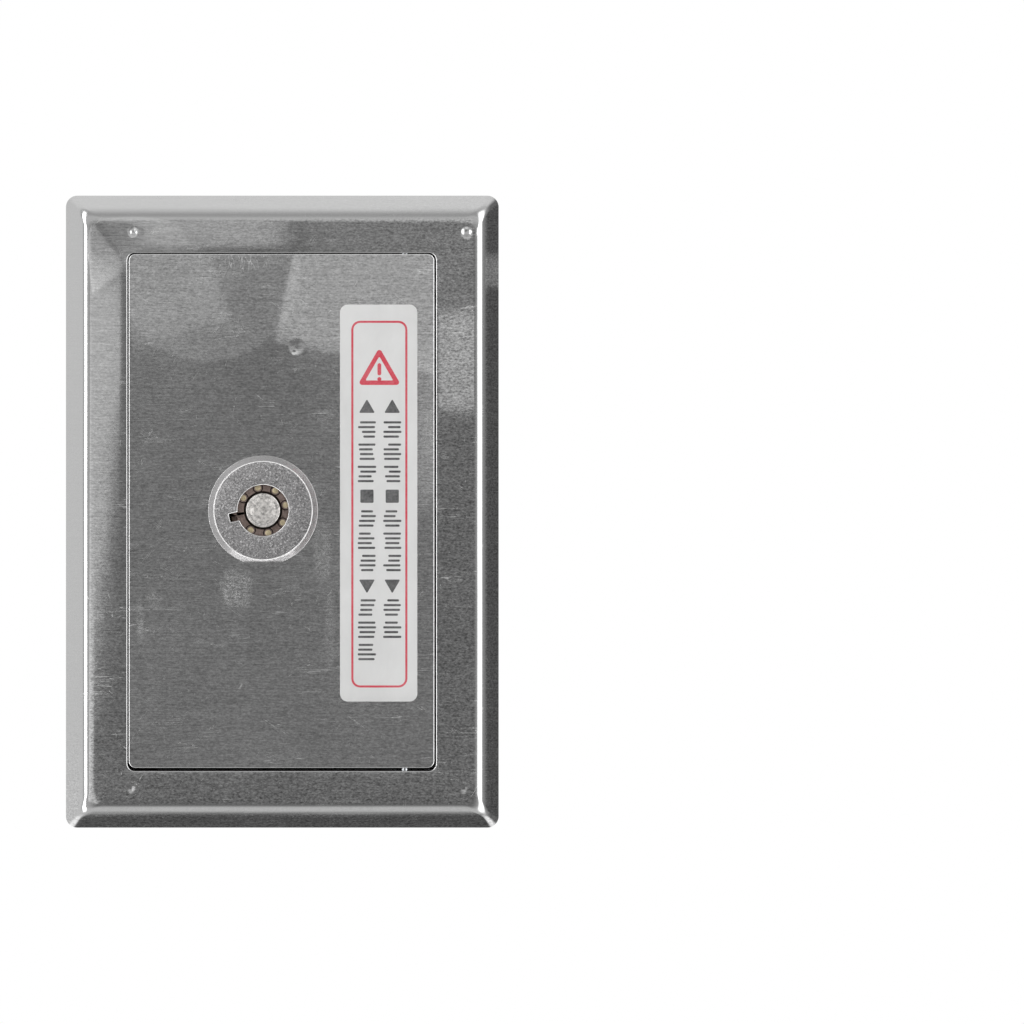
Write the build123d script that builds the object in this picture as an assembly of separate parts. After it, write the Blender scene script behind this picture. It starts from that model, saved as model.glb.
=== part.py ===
"""Flush-mounted steel control box with a key-locked hinged door.

Millimetres.  X is to the right, Z is up and the face looks along -Y.
The wall surface is the plane y = 0: the bevelled rim rests on it, and the
box body goes through a cut-out into the wall, towards +Y.
"""

import os
from math import cos, radians, sin, tan

from build123d import *

os.makedirs("parts", exist_ok=True)

# ---------------------------------------------------------------- dimensions

# Pressed front frame
FRAME_W = 82.2
FRAME_H = 120.0
FRAME_T = 1.0
FACE_Y = -4.9
SLOPE_DEG = 55.0
BEND_R = 2.9
BEND_FACETS = 6
PLAN_CORNER_R = 2.2
OPENING_W = 58.6
OPENING_H = 98.3
OPENING_R = 1.4
LIP_BACK_Y = -0.9
LIP_EDGE_R = 0.6

# Spot-weld marks on the frame: x, z, radius, depth
WELD_MARKS = [
    (-28.6, 53.0, 0.95, 0.10),
    (34.7, 52.8, 1.30, 0.16),
    (-28.7, -52.5, 0.80, 0.07),
    (34.4, -52.6, 0.80, 0.07),
]

# Door
DOOR_W = 57.8
DOOR_TOP = 48.9
DOOR_BOTTOM = -48.6
DOOR_T = 1.0
DOOR_BACK_Y = -0.5
DOOR_R = 1.2
DOOR_EDGE_R = 0.6

# Hinge
PIVOT_X = 23.2
PIVOT_Y = -2.9
PIN_R = 0.75
PIN_RUNNING = 0.05
PIN_HEAD_R = 0.97

# Back box
BOX_T = 0.9
BOX_LEFT = -30.4
BOX_RIGHT = 35.2
BOX_HALF_H = 50.6
BOX_BACK = 48.0
BOX_FRONT = FACE_Y + FRAME_T
FLANGE_REACH = 54.9
BOX_X = (BOX_LEFT + BOX_RIGHT) / 2

# Fixing holes and cable entry
FIX_R = 2.25
FIX_DX = 44.0
FIX_DZ = 70.0
ENTRY_Y = 38.5
ENTRY_HOLE_R = 7.5
ENTRY_BORE_R = 4.5

# Keeper that stops the door and catches the cam
KEEPER_FRONT = 0.4
KEEPER_BACK = 8.8
KEEPER_T = 1.0
KEEPER_HALF_H = 14.0
PAD_R = 1.1

# Tubular cam lock
LOCK_X = -3.66
LOCK_Z = 0.24
FLANGE_R = 10.4
FLANGE_FRONT = -6.5
FLANGE_FLAT = 9.8
FLANGE_BEVEL = 0.95
BARREL_R = 9.5
BARREL_FLAT = 8.2
BARREL_BACK = 8.0
KEYHOLE_R = 4.86
LIP_BACK = -4.5
NOTCH_DEG = 193.0
NOTCH_W = 1.6
NOTCH_R = 6.5
LOCK_BORE_R = 6.18
SPINDLE_R = 6.1
POST_R = 3.25
POST_FRONT = -6.3
FLOOR_Y = -4.4
BIT_SLOT_R = 5.05
BIT_SLOT_BACK = -2.4
SHEAR_Y = 1.0
TAIL_R = 3.4
TAIL_FLAT = 2.6
STUD_R = 2.5
PIN_CIRCLE_R = 4.25
LOCK_PIN_R = 0.8
KEY_PIN_FRONT = -4.45
LOCK_PIN_ANGLES = [NOTCH_DEG - 180.0 + 45.0 * step for step in (0, 1, 2, 3, 5, 6, 7)]
CAM_LENGTH = 24.0
CAM_FRONT = 9.1
CAM_T = 1.6

# Label
LABEL_X = 18.27
LABEL_Z = 1.62
LABEL_W = 14.66
LABEL_H = 75.3
LABEL_T = 0.15

# Switch panel and push buttons
PANEL_FRONT = 24.0
PANEL_T = 1.5
BUTTON_X = BOX_X
BUTTON_PITCH = 29.0
BUTTONS = {"up": BUTTON_PITCH, "stop": 0.0, "down": -BUTTON_PITCH}
TRAVEL = 2.5
SLEEVE_R = 7.9
SLEEVE_BACK = 33.0
CAP_R = 6.8
STEM_R = 2.2
BLOCK_W = 18.0
BLOCK_BACK = 45.0
SCREW_X = (BOX_X - 22.0, BOX_X + 22.0)
SCREW_Z = (46.0, -46.0)


# ------------------------------------------------------------------- helpers

def front_plane(y):
    """A drawing plane at depth y: sketch x is X, sketch y is Z, normal is -Y."""
    return Plane(origin=(0, y, 0), x_dir=(1, 0, 0), z_dir=(0, -1, 0))


def slab(sketch, y_front, y_back):
    """Extrude a front-view sketch between two depths."""
    return extrude(front_plane(y_back) * sketch, amount=y_back - y_front)


def block(x0, x1, y0, y1, z0, z1):
    """A plain box between two corners."""
    centre = ((x0 + x1) / 2, (y0 + y1) / 2, (z0 + z1) / 2)
    return Pos(*centre) * Box(x1 - x0, y1 - y0, z1 - z0)


def rod(radius, y_front, y_back, x=0.0, z=0.0):
    """A cylinder along Y."""
    return slab(Pos(x, z) * Circle(radius), y_front, y_back)


def ring(outer, inner, y_front, y_back, x=0.0, z=0.0):
    """A tube along Y."""
    return slab(Pos(x, z) * (Circle(outer) - Circle(inner)), y_front, y_back)


def upright(radius, z0, z1, x, y):
    """A cylinder along Z."""
    return Pos(x, y, (z0 + z1) / 2) * Cylinder(radius, z1 - z0)


def double_d(radius, flat):
    """A circle cut to two flats at sketch x = +-flat."""
    return Circle(radius) & Rectangle(2 * flat, 2.2 * radius)


def edges_at(part, y):
    """The edges that lie in the plane at depth y."""
    return part.edges().filter_by_position(Axis.Y, y - 0.001, y + 0.001)


def coil(mean_r, wire_r, y_front, y_back, turns, x, z):
    """A compression spring along Y that fills the depth given."""
    height = y_back - y_front - 2 * wire_r
    path = Helix(pitch=height / turns, height=height, radius=mean_r)
    wire = Plane(origin=path @ 0, z_dir=path % 0) * Circle(wire_r)
    spring = sweep(wire, path=path)
    return Pos(x, y_front + wire_r, z) * (Rot(-90, 0, 0) * spring)


def pan_screw(x, z, y_head, head_r, head_h, shank_r, length, toward=1):
    """A cross-slot screw along Y; toward is +1 when it is driven towards +Y."""
    low = min(y_head, y_head - toward * head_h)
    high = max(y_head, y_head - toward * head_h)
    head = rod(head_r, low, high, x, z)
    outer_y = y_head - toward * head_h
    head = fillet(edges_at(head, outer_y), head_h * 0.35)
    low = min(y_head, y_head + toward * length)
    high = max(y_head, y_head + toward * length)
    body = head + rod(shank_r, low, high, x, z)
    depth = head_h * 0.55
    low = min(outer_y, outer_y + toward * depth)
    high = max(outer_y, outer_y + toward * depth)
    slot = head_h * 0.3
    reach = head_r * 0.62
    body -= block(x - reach, x + reach, low, high, z - slot / 2, z + slot / 2)
    body -= block(x - slot / 2, x + slot / 2, low, high, z - reach, z + reach)
    return body


PARTS = {}


def keep(name, shape):
    """Store a finished node; a list becomes a group of separate solids."""
    if isinstance(shape, list):
        solids = [solid for item in shape for solid in item.solids()]
        shape = Compound(children=solids)
    PARTS[name] = shape


# --------------------------------------------------------------- front frame

def bevel_profile(half, inset):
    """Section of the pressed shape: slope, bend in short facets, flat top."""
    slope = radians(SLOPE_DEG)
    bend = BEND_R - inset
    top = FACE_Y + inset
    foot = half - inset / sin(slope)
    centre_x = foot + top / tan(slope) - bend * tan(slope / 2)
    below = 1.0 if inset else 0.0
    right = [(foot + below / tan(slope), below)]
    for step in range(BEND_FACETS + 1):
        angle = slope * (1 - step / BEND_FACETS)
        right.append((centre_x + bend * sin(angle), top + bend * (1 - cos(angle))))
    left = [(-x, y) for x, y in reversed(right)]
    return right + left


def bevel_solid(inset):
    """Two straight sections crossed, which leaves mitred corners."""
    wide = make_face(Polyline(*bevel_profile(FRAME_W / 2, inset), close=True))
    across = Pos(0, 0, -FRAME_H) * extrude(wide, amount=2 * FRAME_H)
    tall = make_face(Polyline(*bevel_profile(FRAME_H / 2, inset), close=True))
    along = Rot(0, 90, 0) * Pos(0, 0, -FRAME_W) * extrude(tall, amount=2 * FRAME_W)
    return across & along


def make_front_frame():
    shell = bevel_solid(0.0)
    shell &= slab(RectangleRounded(FRAME_W, FRAME_H, PLAN_CORNER_R), FACE_Y - 1, 1)
    hollow = bevel_solid(FRAME_T)
    inner_w = FRAME_W - 2 * FRAME_T
    inner_h = FRAME_H - 2 * FRAME_T
    hollow &= slab(RectangleRounded(inner_w, inner_h, PLAN_CORNER_R - FRAME_T), FACE_Y, 2)
    shell -= hollow
    lip_w = OPENING_W + 2 * FRAME_T
    lip_h = OPENING_H + 2 * FRAME_T
    shell += slab(RectangleRounded(lip_w, lip_h, OPENING_R + FRAME_T), FACE_Y + 0.5, LIP_BACK_Y)
    shell -= slab(RectangleRounded(OPENING_W, OPENING_H, OPENING_R), FACE_Y - 1, 1)
    mouth = [
        edge
        for edge in edges_at(shell, FACE_Y)
        if abs(edge.center().X) < OPENING_W / 2 + 0.1
        and abs(edge.center().Z) < OPENING_H / 2 + 0.1
    ]
    shell = fillet(mouth, LIP_EDGE_R)
    for side in (1, -1):
        z = side * (OPENING_H / 2 + FRAME_T / 2)
        shell -= upright(PIN_R, z - 1.5, z + 1.5, PIVOT_X, PIVOT_Y)
    for x, z, mark_r, depth in WELD_MARKS:
        ball_r = (mark_r**2 + depth**2) / (2 * depth)
        shell -= Pos(x, FACE_Y + depth - ball_r, z) * Sphere(ball_r)
    return shell


keep("front_frame", make_front_frame())


# ----------------------------------------------------------------- hinge pins

def make_hinge_pins():
    pins = []
    for side, door_edge in ((1, DOOR_TOP), (-1, DOOR_BOTTOM)):
        seat = side * (OPENING_H / 2 + FRAME_T)
        tip = door_edge - side * (DOOR_T + 0.5)
        low, high = min(tip, seat), max(tip, seat)
        pin = upright(PIN_R, low, high, PIVOT_X, PIVOT_Y)
        end = seat + side * 0.4
        low, high = min(seat, end), max(seat, end)
        pin += upright(PIN_HEAD_R, low, high, PIVOT_X, PIVOT_Y)
        pins.append(pin)
    return pins


keep("hinge_pins", make_hinge_pins())


# ------------------------------------------------------------------- back box

def make_back_box():
    t = BOX_T
    outer = block(
        BOX_LEFT - t, BOX_RIGHT + t, BOX_FRONT, BOX_BACK + t, -BOX_HALF_H - t, BOX_HALF_H + t
    )
    inner = block(BOX_LEFT, BOX_RIGHT, BOX_FRONT - 1, BOX_BACK, -BOX_HALF_H, BOX_HALF_H)
    outer = fillet(outer.edges().filter_by(Axis.Y), 1.4)
    outer = fillet(edges_at(outer, BOX_BACK + t), 1.0)
    shell = outer - inner
    for side in (1, -1):
        low = side * (BOX_HALF_H + t - 0.05)
        high = side * FLANGE_REACH
        flange = block(
            BOX_LEFT - t + 1.4, BOX_RIGHT + t - 0.6, BOX_FRONT, BOX_FRONT + t,
            min(low, high), max(low, high),
        )
        flange = fillet(
            flange.edges().filter_by(Axis.Y).sort_by(Axis.Z)[-2:]
            if side > 0
            else flange.edges().filter_by(Axis.Y).sort_by(Axis.Z)[:2],
            1.2,
        )
        shell += flange
    for dx in (-FIX_DX / 2, FIX_DX / 2):
        for dz in (-FIX_DZ / 2, FIX_DZ / 2):
            shell -= rod(FIX_R, BOX_BACK - 1, BOX_BACK + 2, BOX_X + dx, dz)
    shell -= upright(ENTRY_HOLE_R, -BOX_HALF_H - 3, -BOX_HALF_H + 1, BOX_X, ENTRY_Y)
    return shell


keep("back_box", make_back_box())


def make_grommet():
    wall_top = -BOX_HALF_H
    wall_bottom = -BOX_HALF_H - BOX_T
    body = upright(ENTRY_HOLE_R - 0.05, wall_bottom, wall_top, BOX_X, ENTRY_Y)
    for low in (wall_top, wall_bottom - 1.4):
        collar = upright(ENTRY_HOLE_R + 1.0, low, low + 1.4, BOX_X, ENTRY_Y)
        outer = collar.edges().filter_by(GeomType.CIRCLE)
        free = outer.sort_by(Axis.Z)[-1:] if low == wall_top else outer.sort_by(Axis.Z)[:1]
        body += fillet(free, 0.6)
    bore_low = wall_bottom - 2
    bore_high = wall_top + 2
    return body - upright(ENTRY_BORE_R, bore_low, bore_high, BOX_X, ENTRY_Y)


keep("cable_grommet", make_grommet())

EARTH_X = BOX_LEFT + 8.0
EARTH_Z = -20.0
keep("earth_stud", rod(2.0, BOX_BACK - 9.0, BOX_BACK, EARTH_X, EARTH_Z))
keep("earth_washer", ring(4.5, 2.05, BOX_BACK - 0.9, BOX_BACK, EARTH_X, EARTH_Z))
keep(
    "earth_nut",
    slab(
        Pos(EARTH_X, EARTH_Z) * (RegularPolygon(3.5, 6, major_radius=False) - Circle(2.05)),
        BOX_BACK - 4.1,
        BOX_BACK - 0.9,
    ),
)


# --------------------------------------------------------------------- keeper

def make_keeper():
    left = BOX_LEFT
    t = KEEPER_T
    h = KEEPER_HALF_H
    web = block(left, left + t, KEEPER_FRONT, KEEPER_BACK, -h, h)
    shelf = block(left, left + 4.2, KEEPER_FRONT, KEEPER_FRONT + t, -h, h)
    catch = block(left, left + 9.6, KEEPER_BACK - t, KEEPER_BACK, -h + 2, h - 2)
    catch = fillet(catch.edges().filter_by(Axis.Y).sort_by(Axis.X)[-2:], 2.0)
    return web + shelf + catch


keep("keeper_channel", make_keeper())
keep(
    "bumper_pads",
    [rod(PAD_R, DOOR_BACK_Y + 0.05, KEEPER_FRONT, BOX_LEFT + 2.3, z) for z in (-9.0, 9.0)],
)


# ----------------------------------------------------------------------- door

def make_door():
    centre_z = (DOOR_TOP + DOOR_BOTTOM) / 2
    height = DOOR_TOP - DOOR_BOTTOM
    outer = slab(
        Pos(0, centre_z) * RectangleRounded(DOOR_W, height, DOOR_R), FACE_Y, DOOR_BACK_Y
    )
    outer = fillet(edges_at(outer, FACE_Y), DOOR_EDGE_R)
    inner = Pos(0, centre_z) * RectangleRounded(DOOR_W - 2 * DOOR_T, height - 2 * DOOR_T, 0.4)
    outer -= slab(inner, FACE_Y + DOOR_T, DOOR_BACK_Y + 1)
    lock_hole = Pos(LOCK_X, LOCK_Z) * double_d(BARREL_R + 0.05, BARREL_FLAT + 0.05)
    outer -= slab(lock_hole, FACE_Y - 1, FACE_Y + DOOR_T + 1)
    for edge_z in (DOOR_TOP - DOOR_T / 2, DOOR_BOTTOM + DOOR_T / 2):
        hole_r = PIN_R + PIN_RUNNING
        outer -= upright(hole_r, edge_z - 1.2, edge_z + 1.2, PIVOT_X, PIVOT_Y)
    return outer


keep("door_panel", make_door())

label = slab(
    Pos(LABEL_X, LABEL_Z) * RectangleRounded(LABEL_W, LABEL_H, 1.5), FACE_Y - LABEL_T, FACE_Y
)
keep("warning_label", label)


# ----------------------------------------------------------------------- lock

def on_lock(shape):
    """Move a shape drawn about the Y axis onto the lock's axis."""
    return Pos(LOCK_X, 0, LOCK_Z) * shape


def sector(outer, inner, start_deg, end_deg):
    """A ring sector in front view, angles anticlockwise from +X."""
    steps = 24
    reach = outer * 1.6
    points = [(0, 0)]
    for i in range(steps + 1):
        angle = radians(start_deg + (end_deg - start_deg) * i / steps)
        points.append((reach * cos(angle), reach * sin(angle)))
    wedge = make_face(Polyline(*points, close=True))
    return (Circle(outer) - Circle(inner)) & wedge


def make_lock_housing():
    disc = rod(FLANGE_R, FLANGE_FRONT, FACE_Y)
    disc = chamfer(edges_at(disc, FLANGE_FRONT), FLANGE_BEVEL)
    flange = disc & block(-12, 12, FLANGE_FRONT, FACE_Y, -FLANGE_FLAT, 12)
    barrel = slab(double_d(BARREL_R, BARREL_FLAT), FACE_Y, BARREL_BACK)
    body = flange + barrel
    body += slab(sector(8.15, 6.6, 16, 254), BARREL_BACK - 0.05, BARREL_BACK + 0.8)
    body -= rod(KEYHOLE_R, FLANGE_FRONT - 1, LIP_BACK + 0.1)
    body -= rod(LOCK_BORE_R, LIP_BACK, BARREL_BACK + 2)
    notch = slab(
        Rot(0, 0, NOTCH_DEG) * Pos(NOTCH_R / 2 + 1.5, 0) * Rectangle(NOTCH_R - 3, NOTCH_W),
        FLANGE_FRONT - 1,
        LIP_BACK + 0.5,
    )
    body -= notch
    body -= upright(0.8, -BARREL_R - 1, -4.0, 0, 6.4)
    return on_lock(body)


keep("lock_housing", make_lock_housing())


def pin_positions():
    for angle in LOCK_PIN_ANGLES:
        yield PIN_CIRCLE_R * cos(radians(angle)), PIN_CIRCLE_R * sin(radians(angle))


def make_spindle():
    body = rod(SPINDLE_R, FLOOR_Y, SHEAR_Y - 0.04)
    body += rod(POST_R, POST_FRONT, FLOOR_Y)
    body = fillet(edges_at(body, POST_FRONT), 0.25)
    body += rod(TAIL_R, SHEAR_Y - 0.04, 8.0)
    body += slab(Rot(0, 0, 90) * double_d(TAIL_R, TAIL_FLAT), 8.0, CAM_FRONT + CAM_T)
    stud = rod(STUD_R, CAM_FRONT + CAM_T, 14.8)
    body += chamfer(edges_at(stud, 14.8), 0.4)
    for x, z in pin_positions():
        body -= rod(LOCK_PIN_R + 0.04, FLOOR_Y - 1, SHEAR_Y, x, z)
    bit_slot = Pos(BIT_SLOT_R + 1, 0) * Rectangle(2, NOTCH_W)
    body -= slab(Rot(0, 0, NOTCH_DEG) * bit_slot, FLOOR_Y - 0.1, BIT_SLOT_BACK)
    return on_lock(body)


keep("lock_spindle", make_spindle())


def make_bushing():
    body = ring(LOCK_BORE_R - 0.03, TAIL_R + 0.06, SHEAR_Y, BARREL_BACK - 0.1)
    for x, z in pin_positions():
        body -= rod(LOCK_PIN_R + 0.04, SHEAR_Y - 1, 7.2, x, z)
    body -= upright(0.8, -BARREL_R, -5.3, 0, 6.4)
    return on_lock(body)


keep("lock_bushing", make_bushing())
keep("bushing_dowel", on_lock(upright(0.77, -9.3, -5.35, 0, 6.4)))


def make_key_pin(x, z):
    pin = rod(LOCK_PIN_R, KEY_PIN_FRONT, SHEAR_Y - 0.04, x, z)
    return chamfer(edges_at(pin, KEY_PIN_FRONT), 0.12)


keep(
    "key_pins",
    [
        on_lock(make_key_pin(x, z))
        for x, z in pin_positions()
    ],
)
keep("driver_pins", [on_lock(rod(LOCK_PIN_R, SHEAR_Y, 3.8, x, z)) for x, z in pin_positions()])
keep(
    "pin_springs",
    [on_lock(coil(0.5, 0.12, 3.85, 7.15, 5, x, z)) for x, z in pin_positions()],
)

lock_washer = slab(Circle(11.6) - Circle(BARREL_R + 0.05), FACE_Y + DOOR_T, -3.3)
keep("lock_washer", on_lock(lock_washer))
lock_nut = slab(
    RegularPolygon(12.0, 6, major_radius=False) - Circle(BARREL_R + 0.02), -3.3, -0.1
)
lock_nut &= rod(13.2, -4, 1)
keep("lock_nut", on_lock(lock_nut))

stop_disc = Circle(6.3) + sector(8.1, 5.0, 255, 285)
stop_disc -= Rot(0, 0, 90) * double_d(TAIL_R + 0.03, TAIL_FLAT + 0.03)
keep("stop_washer", on_lock(slab(stop_disc, 8.08, CAM_FRONT - 0.02)))


def make_cam():
    arm = Circle(6.6)
    arm += Pos(0, (CAM_LENGTH - 4.5) / 2) * Rectangle(10.0, CAM_LENGTH - 4.5)
    arm += Pos(0, CAM_LENGTH - 5.0) * Circle(5.0)
    arm -= Rot(0, 0, 90) * double_d(TAIL_R + 0.03, TAIL_FLAT + 0.03)
    return on_lock(slab(arm, CAM_FRONT, CAM_FRONT + CAM_T))


keep("lock_cam", make_cam())
keep("cam_washer", on_lock(ring(4.6, STUD_R + 0.05, 10.72, 11.5)))
cam_nut = slab(RegularPolygon(4.0, 6, major_radius=False) - Circle(STUD_R + 0.02), 11.5, 14.2)
keep("cam_nut", on_lock(cam_nut))


# --------------------------------------------------------------- switch panel

PANEL_BACK = PANEL_FRONT + PANEL_T


def make_panel():
    outline = Pos(BOX_X, 0) * RectangleRounded(62.6, 97.0, 2.0)
    for z in BUTTONS.values():
        outline -= Pos(BUTTON_X, z) * Circle(SLEEVE_R + 0.1)
    for x in SCREW_X:
        for z in SCREW_Z:
            outline -= Pos(x, z) * Circle(1.7)
    return slab(outline, PANEL_FRONT, PANEL_BACK)


keep("switch_panel", make_panel())


def make_brackets():
    brackets = []
    for side in (1, -1):
        wall = side * BOX_HALF_H
        near = side * 42.5
        foot = block(
            BOX_X - 26, BOX_X + 26, PANEL_BACK, PANEL_BACK + 4,
            min(wall - side, wall), max(wall - side, wall),
        )
        leg = block(
            BOX_X - 26, BOX_X + 26, PANEL_BACK, PANEL_BACK + 1.0, min(near, wall), max(near, wall)
        )
        bracket = foot + leg
        for x in SCREW_X:
            bracket -= rod(1.5, PANEL_BACK - 1, PANEL_BACK + 3, x, side * 46.0)
        brackets.append(bracket)
    return brackets


keep("panel_brackets", make_brackets())
keep(
    "panel_screws",
    [pan_screw(x, z, PANEL_FRONT, 2.8, 1.9, 1.48, 6.0) for x in SCREW_X for z in SCREW_Z],
)


# --------------------------------------------------------------- push buttons

def make_bezel(x, z):
    collar = rod(10.0, PANEL_FRONT - 2.6, PANEL_FRONT, x, z)
    collar = fillet(edges_at(collar, PANEL_FRONT - 2.6), 0.9)
    body = collar + rod(SLEEVE_R, PANEL_FRONT, SLEEVE_BACK, x, z)
    body -= rod(CAP_R + 0.1, PANEL_FRONT - 4, SLEEVE_BACK - 2.0, x, z)
    return body - rod(STEM_R + 0.15, PANEL_FRONT, SLEEVE_BACK + 1, x, z)


def arrow(direction):
    """A plain triangle pointing up or down."""
    tip = 3.0 * direction
    foot = -2.0 * direction
    return make_face(Polyline((0, tip), (-3.2, foot), (3.2, foot), close=True))


def make_cap(name, x, z):
    front = 18.3
    body = rod(CAP_R, front, 25.0, x, z)
    body = fillet(edges_at(body, front), 0.7)
    body += rod(STEM_R, 25.0, 39.0, x, z)
    symbol = {"up": arrow(1), "down": arrow(-1), "stop": Rectangle(5.0, 5.0)}[name]
    return body - slab(Pos(x, z) * symbol, front - 1, front + 0.3)


def make_block(x, z):
    half = BLOCK_W / 2
    body = block(x - half, x + half, SLEEVE_BACK, BLOCK_BACK, z - half, z + half)
    body = fillet(body.edges().filter_by(Axis.Y), 1.0)
    wall = 1.4
    body -= block(
        x - half + wall, x + half - wall, SLEEVE_BACK + wall, BLOCK_BACK - wall,
        z - half + wall, z + half - wall,
    )
    body -= rod(STEM_R + 0.15, SLEEVE_BACK - 1, SLEEVE_BACK + wall + 1, x, z)
    for side in (1, -1):
        low = min(x + side * (half - 2), x + side * (half + 1))
        high = max(x + side * (half - 2), x + side * (half + 1))
        body -= block(low, high, 41.7, 42.5, z - 3.0, z + 3.0)
    return body


def make_contacts(x, z):
    contacts = []
    for side in (1, -1):
        near, far = x + side * 3.6, x + side * 14.6
        strip = block(min(near, far), max(near, far), 41.7, 42.5, z - 3.0, z + 3.0)
        strip += rod(1.3, 41.2, 41.7, x + side * 5.0, z)
        strip -= rod(1.5, 41.0, 43.0, x + side * 12.0, z)
        contacts.append(strip)
    return contacts


for name, z in BUTTONS.items():
    x = BUTTON_X
    keep(name + "_bezel", make_bezel(x, z))
    nut = RegularPolygon(9.8, 6, major_radius=False) - Circle(SLEEVE_R + 0.02)
    keep(name + "_ring_nut", slab(Pos(x, z) * nut, PANEL_BACK, PANEL_BACK + 3.0))
    keep(name + "_cap", make_cap(name, x, z))
    keep(name + "_spring", coil(4.6, 0.35, 25.02, 30.98, 4, x, z))
    keep(name + "_contact_block", make_block(x, z))
    bridge = block(x - 6.4, x + 6.4, 38.0, 38.6, z - 3.2, z + 3.2)
    keep(name + "_bridge", bridge - rod(STEM_R, 37, 40, x, z))
    keep(name + "_contacts", make_contacts(x, z))
    keep(
        name + "_terminal_screws",
        [
            pan_screw(x + side * 12.0, z, 42.5, 2.4, 1.6, 1.48, 3.5, toward=-1)
            for side in (1, -1)
        ],
    )


# --------------------------------------------------------------------- export

for node, shape in PARTS.items():
    export_step(shape, "parts/" + node + ".step")
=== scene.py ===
"""Flush-mounted steel control box with a key-locked door: the visual model.

Shapes are worked out in millimetres and turned into metres when a mesh is made.
"""

import math

import bmesh
import bpy
import numpy as np
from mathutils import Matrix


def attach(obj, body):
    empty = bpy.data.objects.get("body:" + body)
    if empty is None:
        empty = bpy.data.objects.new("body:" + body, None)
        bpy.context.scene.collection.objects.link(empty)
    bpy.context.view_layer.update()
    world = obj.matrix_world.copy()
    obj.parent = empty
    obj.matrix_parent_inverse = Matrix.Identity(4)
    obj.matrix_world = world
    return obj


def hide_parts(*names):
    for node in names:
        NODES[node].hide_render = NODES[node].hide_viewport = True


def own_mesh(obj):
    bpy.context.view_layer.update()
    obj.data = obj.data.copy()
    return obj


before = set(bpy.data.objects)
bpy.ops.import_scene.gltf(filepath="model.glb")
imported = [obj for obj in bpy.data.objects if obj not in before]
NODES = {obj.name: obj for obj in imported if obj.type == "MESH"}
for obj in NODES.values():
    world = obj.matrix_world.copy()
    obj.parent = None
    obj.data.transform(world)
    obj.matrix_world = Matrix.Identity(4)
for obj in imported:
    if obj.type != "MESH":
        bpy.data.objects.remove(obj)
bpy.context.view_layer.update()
MM = 0.001


# ------------------------------------------------------------ mesh building

class Patches:
    """Collects quad patches given as grids of points, in millimetres."""

    def __init__(self):
        self.points = []
        self.faces = []
        self.tags = []
        self.count = 0

    def grid(self, rows, round_cols=False, tag=0):
        """rows is an array (n, m, 3); neighbours become quads."""
        rows = np.asarray(rows, float)
        n, m = rows.shape[:2]
        base = self.count
        self.points.append(rows.reshape(-1, 3))
        self.count += n * m
        for i in range(n - 1):
            row = base + i * m
            for j in range(m if round_cols else m - 1):
                k = (j + 1) % m
                self.faces.append((row + j, row + k, row + m + k, row + m + j))
                self.tags.append(tag)

    def loops(self, rings, tag=0):
        """rings is a list of closed loops with the same number of points."""
        self.grid(np.stack(rings), round_cols=True, tag=tag)

    def cap(self, ring, centre, tag=0):
        """A fan of triangles from a ring to its centre."""
        ring = np.asarray(ring, float)
        base = self.count
        self.points.append(np.vstack([ring, centre]))
        m = len(ring)
        self.count += m + 1
        for j in range(m):
            self.faces.append((base + j, base + (j + 1) % m, base + m))
            self.tags.append(tag)

    def make(self, name, materials, sharp_deg=40.0, merge=0.002):
        """Joins the patches into one piece; a face's tag picks its material."""
        mesh = bpy.data.meshes.new(name)
        points = np.vstack(self.points) * MM
        mesh.from_pydata(points.tolist(), [], self.faces)
        mesh.update()
        bm = bmesh.new()
        bm.from_mesh(mesh)
        layer = bm.faces.layers.int.new("tag")
        bm.faces.ensure_lookup_table()
        for face, tag in zip(bm.faces, self.tags):
            face[layer] = tag
        bmesh.ops.remove_doubles(bm, verts=bm.verts, dist=merge * MM)
        bmesh.ops.dissolve_degenerate(bm, edges=bm.edges, dist=1e-7)
        bmesh.ops.recalc_face_normals(bm, faces=bm.faces)
        limit = math.radians(sharp_deg)
        for face in bm.faces:
            face.smooth = True
            face.material_index = face[layer]
        for edge in bm.edges:
            edge.smooth = edge.calc_face_angle(0.0) < limit
        bm.to_mesh(mesh)
        bm.free()
        for material in materials:
            mesh.materials.append(material)
        piece = bpy.data.objects.new(name, mesh)
        bpy.context.scene.collection.objects.link(piece)
        return piece


def spaced(*spans):
    """A rising list of coordinates; each span is (start, end, step)."""
    values = []
    for start, end, step in spans:
        n = max(1, round((end - start) / step))
        values.extend(np.linspace(start, end, n + 1)[:-1])
    values.append(spans[-1][1])
    return np.array(values)


EPS = 1e-6


def round_corner(points, half_w, half_h, radius):
    """Moves points near the corners of a rectangle onto arcs."""
    if radius <= EPS:
        return points
    out = points.copy()
    for i, (x, z) in enumerate(points):
        sx, sz = (1 if x >= 0 else -1), (1 if z >= 0 else -1)
        ax, az = abs(x), abs(z)
        along_top = abs(az - half_h) < 1e-9
        gap = half_w - ax if along_top else half_h - az
        if gap < radius:
            turn = math.radians(45.0) * gap / radius
            phi = math.radians(45.0) + (turn if along_top else -turn)
            cx, cz = half_w - radius, half_h - radius
            out[i] = (sx * (cx + radius * math.cos(phi)), sz * (cz + radius * math.sin(phi)))
    return out


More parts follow.
